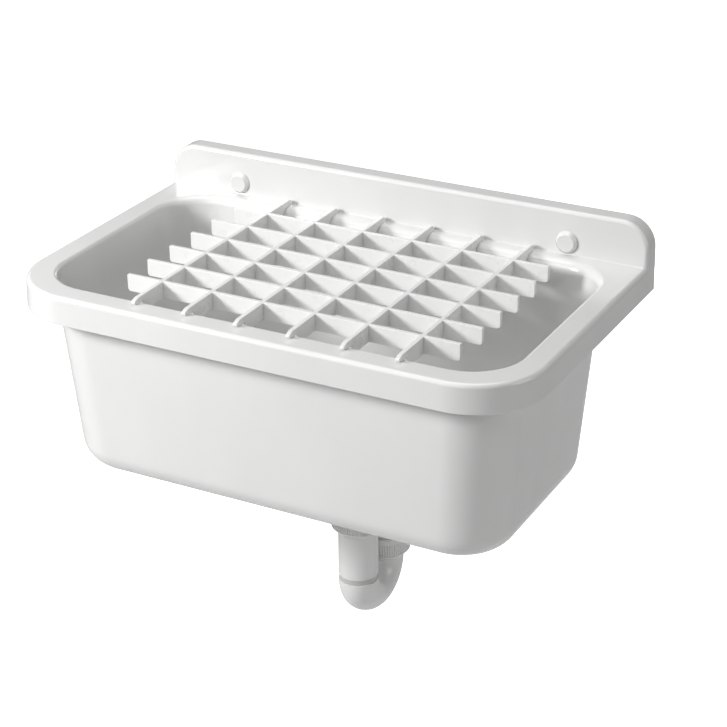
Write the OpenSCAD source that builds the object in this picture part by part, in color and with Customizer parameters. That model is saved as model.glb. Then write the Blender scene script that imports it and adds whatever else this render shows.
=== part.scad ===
// Wall-hung mop service sink: a moulded basin with a splashback, a lift-up grate over it,
// and below its floor a drain with a U-shaped trap that runs back to the wall.
// Millimetres. The origin lies midway between the two screw holes, on the wall plane.
// +X is to the right, +Y into the wall and +Z up.

/* [Rim and skirt] */
// Width over the skirt's lower edge
sink_w = 510; // [490:1:540]
// Depth from the wall to the skirt's lower front edge
sink_d = 314; // [305:1:330]
// Height of the skirt, from the rim down to its lower edge
skirt_h = 27; // [20:1:36]
// How far the skirt leans out from the rim to its lower edge
skirt_flare = 0.6; // [0:0.1:2]
// Radius of the rim's two front corners
rim_corner_r = 68; // [60:1:76]
// Radius of the rim's outer upper edge
rim_edge_r = 4.5; // [3:0.5:6]
// Wall thickness of the whole moulding
wall = 3.5; // [3:0.5:4.5]

/* [Splashback] */
// Height of the splashback over the rim
splash_h = 42; // [38:1:60]
// Depth of the splashback at the rim
splash_d = 20; // [17:0.5:24]
// How far the splashback's face leans back at the top
splash_lean = 2.3; // [0:0.1:4]
// Radius of the splashback's two upper corners
splash_corner_r = 27; // [15:1:32]
// Radius of the splashback's front edge
splash_edge_r = 4; // [2:0.5:6]

/* [Wall fixing] */
// Distance between the two screw holes
screw_spacing = 350; // [300:1:380]
// Height of the screw holes over the rim
screw_rise = 12; // [12:0.5:16]
// Diameter of the screw holes
screw_hole_d = 8; // [6:0.5:9]
// Diameter of the bosses behind the screw holes
boss_d = 25; // [24:0.5:28]
// Diameter of the flat round seat in front of each screw hole
spot_d = 22.4; // [22:0.1:22.8]
// Depth of that seat below the splashback's face
spot_depth = 0.5; // [0.4:0.1:0.8]

/* [Tub] */
// Width of the opening in the rim
open_w = 459; // [440:1:465]
// Depth of the opening in the rim
open_d = 250; // [240:1:255]
// Distance from the wall to the rear of the opening
open_rear = 37.5; // [36:0.5:42]
// Height of the tub from the rim to the floor's underside
tub_h = 194; // [170:1:220]
// Draft of the tub's walls, in degrees
tub_draft = 4; // [2:0.5:5]
// Inner radius of the tub's upright corners
tub_corner_r = 48.5; // [40:0.5:56]
// Inner radius between the walls and the floor
floor_r = 21.5; // [14:0.5:26]
// Radius of the opening's edge at the front and the sides
mouth_front_r = 3.5; // [2:0.5:5]
// Radius of the opening's edge at the rear
mouth_rear_r = 9; // [5:0.5:10]

/* [Ribs] */
// Thickness of the ribs
rib_t = 3; // [2:0.5:4]
// Distance between the ribs behind the splashback
rib_pitch = 58; // [56:1:62]
// Height of the two tall ribs that stand off from the wall, below the skirt
prop_h = 84; // [60:1:110]
// Distance between the two tall ribs
prop_spacing = 290; // [270:1:310]

/* [Cover caps] */
// Inner diameter of a cover cap
cap_bore_d = 18.4; // [17.6:0.1:18.6]
// Wall thickness of a cover cap
cap_wall = 1.5; // [1:0.1:1.6]
// Height of a cover cap over its seat
cap_h = 4.9; // [4.5:0.1:6]
// Diameter of a cover cap's flat front
cap_front_d = 16; // [14:0.2:17]
// Width of the bevel round that front
cap_bevel = 0.5; // [0.3:0.1:0.8]
// Height of the straight band at a cover cap's foot
cap_band_h = 1.2; // [0.8:0.1:1.6]
// Thickness of the washer that a cover cap snaps on
cap_seat_t = 2; // [1.4:0.1:2]
// Diameter of the countersink in that washer
cap_sink_d = 13; // [11:0.5:15]

/* [Grate] */
// Number of bars each way
bars = 6; // [4:1:6]
// Distance between the long bars
long_pitch = 51.7; // [46:0.1:54]
// Distance between the cross bars
cross_pitch = 37; // [34:1:38]
// Thickness of every bar
bar_t = 4; // [2.5:0.1:4.5]
// Height of every bar
bar_h = 15.8; // [14:0.1:20]
// Height of the grate's top over the rim
grate_rise = 6.1; // [5:0.1:8]
// How far the grate lies to the right of the basin's middle
grate_shift = 12.6; // [0:0.1:16]
// How far the cross bars run past the outer long bars
cross_end = 38.8; // [30:0.1:42]
// How much shorter the first and the last cross bar are at each end
end_trim = 3; // [0:0.5:6]
// Radius of the cross bars' lower corners
bar_corner_r = 3; // [1:0.5:5]
// Distance from the wall to the rearmost cross bar
cross_rear = 67; // [64:0.5:70]
// Distance from the wall to the front tips of the long bars
nose_front = 299; // [297:0.5:303]
// Length of the slopes above and below those tips
nose_slope = 6; // [4:0.5:7]
// Height of the blunt end between the slopes
nose_end_h = 1.8; // [1:0.2:3]
// Gap between the splashback and the rear tips of the long bars
nose_gap = 2.8; // [2:0.1:3.5]
// Gap between the long bars' full height and the opening's front edge
web_gap = 2.5; // [1.5:0.5:5]
// How much larger the hollow in the rear hooks is than the opening's rear edge
hook_play = 2; // [1:0.5:3]
// How far the hooks' ends lie in front of that edge's upper end
hook_set = 1; // [0.5:0.5:2]

/* [Drain] */
// Distance from the wall to the drain's axis
drain_back = 105; // [98:0.5:130]
// Diameter of the hole in the floor
drain_hole_d = 52; // [48:1:56]
// Step between that hole and the waste body's mouth
drain_step = 1; // [0.5:0.5:2]
// Diameter of the recess round that hole
recess_d = 72; // [70:1:76]
// Depth of that recess
recess_h = 3; // [2:0.5:4]
// Diameter of the strainer's flange and of the gaskets
flange_d = 70; // [66:1:70]
// Thickness of the strainer's sheet
sheet_t = 1.5; // [0.8:0.1:2]
// Depth of the strainer's dish
dish_h = 6; // [4:0.5:8]
// Number of holes in the strainer's outer ring, twice that of its inner ring
strainer_holes = 12; // [8:2:14]
// Diameter of the holes in the outer ring
strainer_hole_d = 5; // [3:0.5:6]
// Diameter of the holes in the inner ring
small_hole_d = 4; // [2.5:0.5:5]
// Width of the metal between the rings of holes and outside them
strainer_web = 1; // [0.5:0.5:1.5]
// Thickness of the lower gasket
lower_gasket_t = 2.5; // [1.5:0.5:4]
// Thickness of the waste body's flange
waste_flange_t = 4; // [3:0.5:6]
// Length of the waste body's cone
waste_cone_h = 20; // [14:1:26]
// Number of arms that hold the insert in the waste body
waste_arms = 3; // [3:1:4]
// Wall thickness of the hub round the insert
hub_wall = 2; // [1.5:0.5:3]
// Diameter of the strainer screw
strainer_screw_d = 6; // [5:0.5:7]
// Length of the strainer screw
strainer_screw_l = 18; // [16:1:22]
// Diameter of that screw's head
screw_head_d = 10.8; // [9:0.2:13]
// Height of that screw's head
screw_head_h = 3; // [2:0.25:4]
// Width of the slot in that head
screw_slot_w = 1.4; // [1:0.1:2]
// Length of the threaded insert
insert_h = 9; // [7:0.5:12]
// Wall thickness of the threaded insert
insert_wall = 1.6; // [1.2:0.1:2]
// Depth of the insert below the waste body's upper face
insert_drop = 1; // [0.5:0.5:2]

/* [Trap] */
// Outer diameter of the trap's tube
tube_d = 40; // [38:0.5:42]
// Wall thickness of the trap's tube
tube_wall = 2.2; // [1.8:0.1:3]
// Distance between the two legs of the bend
leg_gap = 56; // [54:0.5:60]
// Height of the bend's centre below the floor's underside
bend_drop = 154.5; // [145:0.5:170]
// Height of the inlet nut's lower edge over the bend's centre
inlet_nut_rise = 55; // [48:0.5:64]
// Height of the outlet nut's lower edge over the bend's centre
outlet_nut_rise = 1; // [0.5:0.5:4]
// Height of the ring groove between the inlet leg and the bend
groove_h = 6; // [4:0.5:8]
// Depth of that groove
groove_depth = 1; // [0.6:0.1:1.2]
// Thickness of the ring in that groove
seal_t = 0.4; // [0.3:0.1:0.6]
// Length of the bend's spigot inside the inlet leg
spigot_l = 10; // [6:1:16]
// Wall thickness of that spigot
spigot_wall = 1.8; // [1.6:0.1:2.4]
// Radius of the outlet elbow's centre line
elbow_r = 30; // [26:0.5:31]
// Length of the tube ends inside their threaded sockets
slip_l = 25; // [20:1:26]
// Height of the shoulder inside the outlet elbow's socket
shoulder_t = 4; // [3:0.5:5]

/* [Union nuts] */
// Outer diameter of a union nut
nut_d = 53; // [52:0.5:54]
// Height of a union nut
nut_h = 26; // [24:1:30]
// Height of the cone at a union nut's lower edge
nut_cone_h = 6; // [4:0.5:8]
// Thickness of a union nut's lower lip
lip_t = 4; // [3:0.5:5]
// Width of the flat ring at a union nut's lower edge
nut_land = 1; // [0.5:0.25:2]
// Height of the band of grip ribs on a union nut
grip_h = 14; // [10:1:16]
// Number of grip ribs on a union nut
grips = 36; // [18:1:40]
// Width of a grip rib
grip_w = 2; // [1.2:0.1:2.4]
// Depth of the band between the grip ribs
grip_depth = 0.8; // [0.4:0.1:1]
// Outer diameter of the threaded sockets
thread_d = 48; // [47:0.1:48.4]
// Height of the cone washers
cone_washer_h = 5; // [4:0.5:6]
// Width of the flat ring at a cone washer's upper edge
washer_land = 1; // [0.5:0.25:2]

/* [Clearances] */
// Radial gap between a union nut and its threaded socket
nut_gap = 0.3; // [0.2:0.05:0.4]
// Gap between a union nut's lip and its washer
lip_gap = 0.3; // [0.2:0.05:0.4]
// Radial gap of a tube in its socket
slip_gap = 0.3; // [0.1:0.05:0.5]
// Radial gap between a cap and the washer it snaps on
snap_gap = 0.3; // [0.2:0.05:0.4]
// Radial gap of the strainer screw in its insert
screw_gap = 0.05; // [0.02:0.01:0.1]
// Radial gap of a wall screw in the washer that a cap snaps on
seat_screw_gap = 0.5; // [0.3:0.1:0.8]
// Radial gap of the bend's spigot in the inlet leg
spigot_gap = 0.1; // [0.05:0.05:0.2]

/* [Hidden] */
$fn = 64;
// facets of the large rounds
fine_fn = 96;

plastic = "whitesmoke";
shade = "gainsboro";
rubber = "dimgray";
steel = "silver";
brass = "goldenrod";

// how far a cut runs past the surface it opens
past = 1;

// heights
rim_z = -screw_rise;
skirt_z = rim_z - skirt_h;
splash_z = rim_z + splash_h;
floor_z = rim_z - tub_h + wall;
under_z = rim_z - tub_h;
seat_z = floor_z - recess_h;
hub_z = seat_z - wall;

// the opening's front and rear
open_y0 = -open_rear - open_d;
open_y1 = -open_rear;
draft_slope = tan(tub_draft);
side_slope = skirt_flare / (skirt_h - rim_edge_r);

// the drain stack, from the floor down
gasket_t = recess_h - sheet_t;
waste_z = hub_z - lower_gasket_t;
cone_top_z = waste_z - waste_flange_t;
cone_end_z = cone_top_z - waste_cone_h;
tube_r = tube_d / 2;
bore_r = tube_r - tube_wall;
socket_r = tube_r + slip_gap;
thread_r = thread_d / 2;
mouth_r = drain_hole_d / 2 - drain_step;

// the trap
leg_y = -drain_back;
rear_y = leg_y + leg_gap;
bend_z = under_z - bend_drop;
inlet_nut_z = bend_z + inlet_nut_rise;
outlet_nut_z = bend_z + outlet_nut_rise;
socket_rise = lip_t + lip_gap + cone_washer_h + lip_gap;
elbow_z = outlet_nut_z + socket_rise + slip_l + shoulder_t;
outlet_z = elbow_z + elbow_r;

// the grate
tip_r = grate_rise / 2;
rear_tip_y = -splash_d - nose_gap - tip_r;
hook_r = mouth_rear_r + hook_play;
hook_y = open_y1 + mouth_rear_r - hook_set;

// where the walls and the splashback's face lie at a height z
function side_x(z) = sink_w / 2 - (z - skirt_z) * side_slope;
function face_y(z) = -splash_d + splash_lean * (z - rim_z) / splash_h;
function mix(a, b, t) = a + (b - a) * t;

// the mean of a ring's points
function middle(ring) = [for (axis = [0 : 2]) sum([for (p = ring) p[axis]]) / len(ring)];
function sum(values) = values * [for (v = values) 1];

// A solid through a list of closed rings with equal numbers of points. Seen from before the
// first ring, the points run anticlockwise.
module loft(rings) {
    n = len(rings[0]);
    last = len(rings) - 1;
    total = n * (last + 1);
    polyhedron(
        points = concat([for (ring = rings) each ring], [middle(rings[0]), middle(rings[last])]),
        faces = concat(
            [for (i = [0 : n - 1]) [total, (i + 1) % n, i]],
            [for (k = [0 : last - 1], i = [0 : n - 1])
                [k * n + i, k * n + (i + 1) % n, (k + 1) * n + (i + 1) % n]],
            [for (k = [0 : last - 1], i = [0 : n - 1])
                [k * n + i, (k + 1) * n + (i + 1) % n, (k + 1) * n + i]],
            [for (i = [0 : n - 1]) [total + 1, last * n + i, last * n + (i + 1) % n]]));
}

// The tub's outline as stations [side, way back, angle]: a corner's centre lies at the side's
// share of the width and at the way back's share of the depth.
arc_step = 7.5;
edge_step = 15;
stations = concat(
    [for (a = [0 : arc_step : 90]) [1, 1, a]],
    [for (a = [90 : arc_step : 180]) [-1, 1, a]],
    [for (a = [180 : arc_step : 270]) [-1, 0, a]],
    [for (a = [270 : arc_step : 360]) [1, 0, a]]);

// a point of the tub's wall at a station, moved outwards by grow, at the height z
function wall_point(s, grow, z) =
    let (inset = (rim_z - z) * draft_slope + tub_corner_r,
         cx = s[0] * (open_w / 2 - inset),
         cy = mix(open_y0 + inset, open_y1 - inset, s[1]))
    [cx + (tub_corner_r + grow) * cos(s[2]), cy + (tub_corner_r + grow) * sin(s[2]), z];

// the opening's edge grows from its front radius to its rear one round the rear corners
function mouth_edge(s) = mix(mouth_front_r, mouth_rear_r, max(0, sin(s[2])));
function mouth_ring(a, up) =
    [for (s = stations) let (r = mouth_edge(s))
        wall_point(s, r * (1 - cos(a)), rim_z - r * (1 - sin(a))) + [0, 0, up]];

// the rings of the floor's rounded edge, for a wall moved outwards by grow
function floor_rings(grow) =
    let (r = floor_r + grow)
    [for (a = [0 : edge_step : 90])
        [for (s = stations) wall_point(s, grow - r * (1 - cos(a)), floor_z - grow + r * (1 - sin(a)))]];

module tub_outside() {
    loft(concat(
        [[for (s = stations) wall_point(s, wall, rim_z - wall / 2)]],
        floor_rings(wall)));
}

module tub_inside() {
    loft(concat(
        [mouth_ring(90, past)],
        [for (a = [90 : -edge_step : 0]) mouth_ring(a, 0)],
        floor_rings(0)));
}

// the square corner outside a quarter round of radius r about the origin
module corner_cut(r) {
    difference() {
        square(r + past);
        circle(r = r);
    }
}

// Section of rim and skirt: the origin is on the rim's level over the skirt's lower edge.
rim_band = (sink_w - open_w) / 2;
module skirt_section() {
    difference() {
        polygon([[-rim_band, 0], [-skirt_flare, 0], [-skirt_flare, -rim_edge_r], [0, -skirt_h],
                 [-wall, -skirt_h], [-wall - skirt_flare, -rim_edge_r],
                 [-wall - skirt_flare, -wall], [-rim_band, -wall]]);
        translate([-skirt_flare - rim_edge_r, -rim_edge_r]) corner_cut(rim_edge_r);
    }
}

module skirt_side() {
    translate([sink_w / 2, 0, rim_z]) rotate([90, 0, 0])
        linear_extrude(sink_d - rim_corner_r) skirt_section();
}

module skirt_corner() {
    translate([sink_w / 2 - rim_corner_r, rim_corner_r - sink_d, rim_z]) rotate([0, 0, -90])
        rotate_extrude(angle = 90, $fn = fine_fn) translate([rim_corner_r, 0]) skirt_section();
}

module skirt() {
    skirt_side();
    mirror([1, 0, 0]) skirt_side();
    skirt_corner();
    mirror([1, 0, 0]) skirt_corner();
    translate([sink_w / 2 - rim_corner_r, -sink_d, rim_z]) rotate([0, 0, -90]) rotate([90, 0, 0])
        linear_extrude(sink_w - 2 * rim_corner_r) skirt_section();
}

// the rim's flat plate, inside the swept section
module rim_plate() {
    inset = rim_band - wall;
    r = rim_corner_r - inset;
    half = sink_w / 2 - inset;
    translate([0, 0, rim_z - wall]) linear_extrude(wall) {
        translate([-half, rim_corner_r - sink_d]) square([2 * half, sink_d - rim_corner_r - wall]);
        translate([-half + r, inset - sink_d]) square([2 * (half - r), rim_corner_r]);
        for (side = [-1, 1])
            translate([side * (half - r), rim_corner_r - sink_d]) circle(r = r, $fn = fine_fn);
    }
}

// a point of the splashback's outline, drawn in by inset, at the depth y behind its face
corner_z = splash_z - splash_corner_r;
corner_x = side_x(corner_z) - splash_corner_r;
function splash_point(x, z, y, back) = [x, back ? 0 : face_y(z) + y, z];
function splash_ring(inset, y, back = false) =
    let (low_z = rim_z - wall, low_x = side_x(low_z) - inset, r = splash_corner_r - inset)
    concat(
        [splash_point(-low_x, low_z, y, back), splash_point(low_x, low_z, y, back)],
        [for (a = [0 : arc_step : 90])
            splash_point(corner_x + r * cos(a), corner_z + r * sin(a), y, back)],
        [for (a = [90 : arc_step : 180])
            splash_point(-corner_x + r * cos(a), corner_z + r * sin(a), y, back)]);

module splash_body() {
    loft(concat(
        [for (a = [0 : edge_step : 90])
            splash_ring(splash_edge_r * (1 - sin(a)), splash_edge_r * (1 - cos(a)))],
        [splash_ring(0, 0, true)]));
}

// the hollow behind the splashback's face, open to the wall and downwards
module splash_hollow() {
    top_z = splash_z - wall;
    low_z = skirt_z - past;
    inner_r = splash_corner_r - wall;
    intersection() {
        rotate([90, 0, 90]) linear_extrude(sink_w, center = true)
            polygon([[past, low_z], [past, top_z], [face_y(top_z) + wall, top_z],
                     [face_y(rim_z) + wall, rim_z], [face_y(rim_z) + wall, low_z]]);
        translate([0, past, 0]) rotate([90, 0, 0]) linear_extrude(splash_d + past) {
            polygon([[-side_x(low_z) + wall, low_z], [side_x(low_z) - wall, low_z],
                     [corner_x + inner_r, corner_z], [corner_x, top_z],
                     [-corner_x, top_z], [-corner_x - inner_r, corner_z]]);
            for (side = [-1, 1])
                translate([side * corner_x, corner_z]) circle(r = inner_r);
        }
    }
}

// a rib behind the splashback and the tub, down to the height low_z at the tub's wall
module back_rib(x, low_z) {
    embed = wall / 2;
    tub_y = open_y1 - embed;
    translate([x - rib_t / 2, 0, 0]) rotate([90, 0, 90]) linear_extrude(rib_t)
        polygon([[0, low_z], [0, splash_z - embed], [face_y(splash_z) + splash_edge_r, splash_z - embed],
                 [face_y(splash_z - splash_edge_r) + embed, splash_z - splash_edge_r],
                 [face_y(rim_z) + embed, rim_z - embed], [tub_y, rim_z - embed],
                 [tub_y - (rim_z - low_z) * draft_slope + wall, low_z]]);
}

module screw_boss(x) {
    translate([x, 0, 0]) rotate([90, 0, 0]) cylinder(h = -face_y(0) - spot_depth, d = boss_d);
}

module basin() {
    color(plastic) difference() {
        union() {
            difference() {
                union() {
                    skirt();
                    rim_plate();
                    splash_body();
                }
                splash_hollow();
            }
            tub_outside();
            translate([0, leg_y, hub_z]) cylinder(h = wall + recess_h, d = recess_d + 2 * wall);
            for (k = [0 : 3]) {
                for (side = k == 0 ? [1] : [-1, 1])
                    back_rib(side * k * rib_pitch, skirt_z);
            }
            for (side = [-1, 1]) {
                screw_boss(side * screw_spacing / 2);
                back_rib(side * prop_spacing / 2, skirt_z - prop_h);
            }
        }
        tub_inside();
        translate([0, leg_y, seat_z]) cylinder(h = recess_h + past, d = recess_d);
        translate([0, leg_y, hub_z - past]) cylinder(h = wall + 2 * past, d = drain_hole_d);
        for (side = [-1, 1]) translate([side * screw_spacing / 2, 0, 0]) rotate([90, 0, 0]) {
            translate([0, 0, -past]) cylinder(h = splash_d + 2 * past, d = screw_hole_d);
            translate([0, 0, -face_y(0) - spot_depth]) cylinder(h = 2 * past, d = spot_d);
        }
    }
}

// side view of a long bar: the web, the pointed front nose and the round rear one that lie on
// the rim, and the hook under the rear one
module long_bar_side() {
    top_z = rim_z + grate_rise;
    web_y = open_y0 + web_gap;
    end_z = rim_z + (grate_rise - nose_end_h) / 2;
    difference() {
        union() {
            polygon([[nose_slope - nose_front, top_z], [-nose_front, end_z + nose_end_h],
                     [-nose_front, end_z], [nose_slope - nose_front, rim_z], [web_y, rim_z],
                     [web_y, top_z - bar_h + tip_r], [web_y + tip_r, top_z - bar_h],
                     [hook_y, top_z - bar_h], [hook_y, rim_z], [rear_tip_y, rim_z], [rear_tip_y, top_z]]);
            translate([rear_tip_y, rim_z + tip_r]) circle(r = tip_r);
        }
        translate([hook_y, rim_z - hook_r]) circle(r = hook_r, $fn = fine_fn);
    }
}

// front view of a cross bar of half the length given, with its lower corners rounded
module cross_bar_front(half) {
    low_z = rim_z + grate_rise - bar_h;
    difference() {
        translate([-half, low_z]) square([2 * half, bar_h]);
        for (side = [0, 1]) mirror([side, 0]) translate([half - bar_corner_r, low_z + bar_corner_r])
            rotate(-90) corner_cut(bar_corner_r);
    }
}

module grate() {
    span = (bars - 1) * long_pitch;
    color(plastic) translate([grate_shift, 0, 0]) {
        for (k = [0 : bars - 1])
            translate([k * long_pitch - span / 2 - bar_t / 2, 0, 0]) rotate([90, 0, 90])
                linear_extrude(bar_t) long_bar_side();
        for (k = [0 : bars - 1])
            translate([0, bar_t / 2 - cross_rear - k * cross_pitch, 0]) rotate([90, 0, 0])
                linear_extrude(bar_t)
                    cross_bar_front(span / 2 + cross_end - (k == 0 || k == bars - 1 ? end_trim : 0));
    }
}

// what stands on a screw hole's flat seat, with +Z out of the wall
module on_screw_seat(side) {
    translate([side * screw_spacing / 2, face_y(0) + spot_depth, 0]) rotate([90, 0, 0]) children();
}

// the washers that the caps snap on, countersunk for the wall screws' heads
module cap_seats() {
    hole_r = screw_hole_d / 2 + seat_screw_gap;
    edge_r = cap_bore_d / 2 - snap_gap;
    color(shade) for (side = [-1, 1]) on_screw_seat(side) rotate_extrude()
        polygon([[hole_r, 0], [edge_r, 0], [edge_r, cap_seat_t], [cap_sink_d / 2, cap_seat_t]]);
}

// a cover cap: a straight foot, a tapered side and a bevelled flat front, hollow behind
module cover_cap() {
    bore_r = cap_bore_d / 2;
    r = bore_r + cap_wall;
    front_r = cap_front_d / 2;
    top = cap_h - cap_wall;
    rotate_extrude()
        polygon([[bore_r, 0], [r, 0], [r, cap_band_h], [front_r + cap_bevel, cap_h - cap_bevel],
                 [front_r, cap_h], [0, cap_h], [0, top], [front_r - cap_wall, top],
                 [bore_r, cap_seat_t + snap_gap]]);
}

module cover_cap_left() {
    color(plastic) on_screw_seat(-1) cover_cap();
}

module cover_cap_right() {
    color(plastic) on_screw_seat(1) cover_cap();
}

// a ring with its lower face at the height z, on the axis at the depth y
module ring(y, z, h, inner_r, outer_r) {
    translate([0, y, z]) difference() {
        cylinder(h = h, r = outer_r);
        translate([0, 0, -past]) cylinder(h = h + 2 * past, r = inner_r);
    }
}

// the strainer: a dished sheet with two rings of holes and one for its screw
dish_r = mouth_r - dish_h / 2;
module strainer() {
    hole_r = strainer_hole_d / 2;
    small_r = small_hole_d / 2;
    ring_r = dish_r - sheet_t - strainer_web - hole_r;
    small_ring_r = ring_r - hole_r - strainer_web - small_r;
    step = 360 / strainer_holes;
    color(steel) translate([0, leg_y, floor_z]) difference() {
        rotate_extrude()
            polygon([[0, -dish_h], [dish_r - sheet_t, -dish_h], [mouth_r - sheet_t, 0],
                     [flange_d / 2, 0], [flange_d / 2, -sheet_t], [mouth_r - sheet_t / 2, -sheet_t],
                     [dish_r, -dish_h - sheet_t], [0, -dish_h - sheet_t]]);
        translate([0, 0, -dish_h - sheet_t - past]) {
            cylinder(h = sheet_t + 2 * past, d = strainer_screw_d + 2 * screw_gap);
            for (k = [0 : strainer_holes - 1]) rotate(k * step) translate([ring_r, 0, 0])
                cylinder(h = sheet_t + 2 * past, r = hole_r);
            for (k = [0 : 2 : strainer_holes - 1]) rotate((k + 0.5) * step) translate([small_ring_r, 0, 0])
                cylinder(h = sheet_t + 2 * past, r = small_r);
        }
    }
}

// the screw's domed head lies in the dish, its shank ends in the insert
module strainer_screw() {
    head_r = screw_head_d / 2;
    color(steel) translate([0, leg_y, floor_z - dish_h]) difference() {
        union() {
            rotate_extrude() intersection() {
                square([head_r, screw_head_h]);
                translate([0, screw_head_h - screw_head_d]) circle(r = screw_head_d);
            }
            translate([0, 0, -strainer_screw_l]) cylinder(h = strainer_screw_l + past, d = strainer_screw_d);
        }
        translate([-head_r - past, -screw_slot_w / 2, screw_head_h / 2])
            cube([2 * (head_r + past), screw_slot_w, screw_head_h]);
    }
}

insert_r = strainer_screw_d / 2 + insert_wall;
insert_z = waste_z - insert_drop - insert_h;
module screw_insert() {
    color(brass) ring(leg_y, insert_z, insert_h, strainer_screw_d / 2 + screw_gap, insert_r);
}

module upper_gasket() {
    color(rubber) ring(leg_y, seat_z, gasket_t, drain_hole_d / 2, flange_d / 2);
}

module lower_gasket() {
    color(rubber) ring(leg_y, waste_z, lower_gasket_t, drain_hole_d / 2, flange_d / 2);
}

// the waste body: a flange, a funnel with a spider that holds the insert, and a threaded socket
waste_end_z = inlet_nut_z + socket_rise;
module waste_body() {
    hub_r = insert_r + hub_wall;
    color(plastic) translate([0, leg_y, 0]) {
        rotate_extrude()
            polygon([[mouth_r, waste_z], [flange_d / 2, waste_z], [flange_d / 2, cone_top_z],
                     [mouth_r + wall, cone_top_z], [thread_r, cone_end_z], [thread_r, waste_end_z],
                     [socket_r, waste_end_z], [socket_r, waste_end_z + slip_l + slip_gap],
                     [bore_r, waste_end_z + slip_l + slip_gap], [bore_r, cone_end_z],
                     [mouth_r, cone_top_z]]);
        difference() {
            union() {
                translate([0, 0, insert_z]) cylinder(h = insert_h, r = hub_r);
                for (k = [1 : waste_arms]) rotate(k * 360 / waste_arms)
                    translate([hub_r / 2, -wall / 2, cone_top_z])
                    cube([mouth_r + wall / 2 - hub_r / 2, wall, waste_flange_t]);
            }
            translate([0, 0, insert_z - past]) cylinder(h = insert_h + 2 * past, r = insert_r);
        }
    }
}

// A union nut on the axis at the depth y, with its lower edge at the height z: a cone, a
// sunk band with grip ribs and a plain collar round a lipped bore.
module union_nut(y, z) {
    r = nut_d / 2;
    band_r = r - grip_depth;
    lip_r = tube_r + slip_gap;
    root = grip_depth / 2;
    bore = thread_r + nut_gap;
    band_top = nut_cone_h + grip_h;
    translate([0, y, z]) {
        rotate_extrude()
            polygon([[lip_r, 0], [lip_r + nut_land, 0], [r, nut_cone_h], [band_r, nut_cone_h],
                     [band_r, band_top], [r, band_top], [r, nut_h], [bore, nut_h],
                     [bore, lip_t], [lip_r, lip_t]]);
        for (k = [1 : grips]) rotate(k * 360 / grips)
            translate([band_r - root, -grip_w / 2, nut_cone_h + root])
            cube([root + grip_depth, grip_w, grip_h - 2 * root]);
    }
}

module inlet_nut() {
    color(plastic) union_nut(leg_y, inlet_nut_z);
}

module outlet_nut() {
    color(plastic) union_nut(rear_y, outlet_nut_z);
}

// a cone washer between a nut's lip and the end of a threaded socket
module cone_washer(y, z) {
    inner_r = tube_r + slip_gap / 2;
    translate([0, y, z + lip_t + lip_gap]) rotate_extrude()
        polygon([[inner_r, 0], [thread_r, 0], [thread_r, cone_washer_h / 2],
                 [inner_r + washer_land, cone_washer_h], [inner_r, cone_washer_h]]);
}

module inlet_washer() {
    color(rubber) cone_washer(leg_y, inlet_nut_z);
}

module outlet_washer() {
    color(rubber) cone_washer(rear_y, outlet_nut_z);
}

// the straight leg, with a wider bore at its lower end for the bend's spigot
groove_r = tube_r - groove_depth;
spigot_r = groove_r - seal_t;
module inlet_leg() {
    low_z = bend_z + groove_h;
    color(plastic) difference() {
        ring(leg_y, low_z, waste_end_z + slip_l - low_z, bore_r, tube_r);
        translate([0, leg_y, low_z - past]) cylinder(h = spigot_l + past, r = spigot_r + spigot_gap);
    }
}

module bend_seal() {
    color(shade) ring(leg_y, bend_z, groove_h, spigot_r, groove_r);
}

module tube_section(outer_r, inner_r) {
    difference() {
        circle(r = outer_r);
        circle(r = inner_r);
    }
}

// the bend: a spigot into the inlet leg, half a turn, and a rear leg up into the outlet nut
module trap_bend() {
    color(plastic) {
        translate([0, (leg_y + rear_y) / 2, bend_z]) rotate([0, 90, 0])
            rotate([0, 0, -90]) rotate_extrude(angle = 180, $fn = fine_fn)
                translate([leg_gap / 2, 0]) tube_section(tube_r, bore_r);
        ring(leg_y, bend_z - seal_t, groove_h + spigot_l + seal_t, spigot_r - spigot_wall, spigot_r);
        ring(rear_y, bend_z, elbow_z - shoulder_t - slip_gap - bend_z, bore_r, tube_r);
    }
}

// the elbow: a threaded socket over the rear leg, a quarter turn and a stub to the wall
module outlet_elbow() {
    low_z = outlet_nut_z + socket_rise;
    color(plastic) {
        ring(rear_y, low_z, slip_l + shoulder_t, socket_r, thread_r);
        ring(rear_y, elbow_z - shoulder_t, shoulder_t, bore_r, thread_r);
        translate([0, rear_y + elbow_r, elbow_z]) rotate([0, -90, 0])
            rotate([0, 0, -90]) rotate_extrude(angle = 90, $fn = fine_fn)
                translate([elbow_r, 0]) tube_section(tube_r, bore_r);
        translate([0, 0, outlet_z]) rotate([90, 0, 0])
            linear_extrude(-rear_y - elbow_r) tube_section(tube_r, bore_r);
    }
}

basin();
grate();
cap_seats();
cover_cap_left();
cover_cap_right();
strainer();
strainer_screw();
screw_insert();
upper_gasket();
lower_gasket();
waste_body();
inlet_nut();
inlet_washer();
inlet_leg();
bend_seal();
trap_bend();
outlet_nut();
outlet_washer();
outlet_elbow();
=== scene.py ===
import math
import bmesh
import bpy
from mathutils import Matrix, Vector


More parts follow.
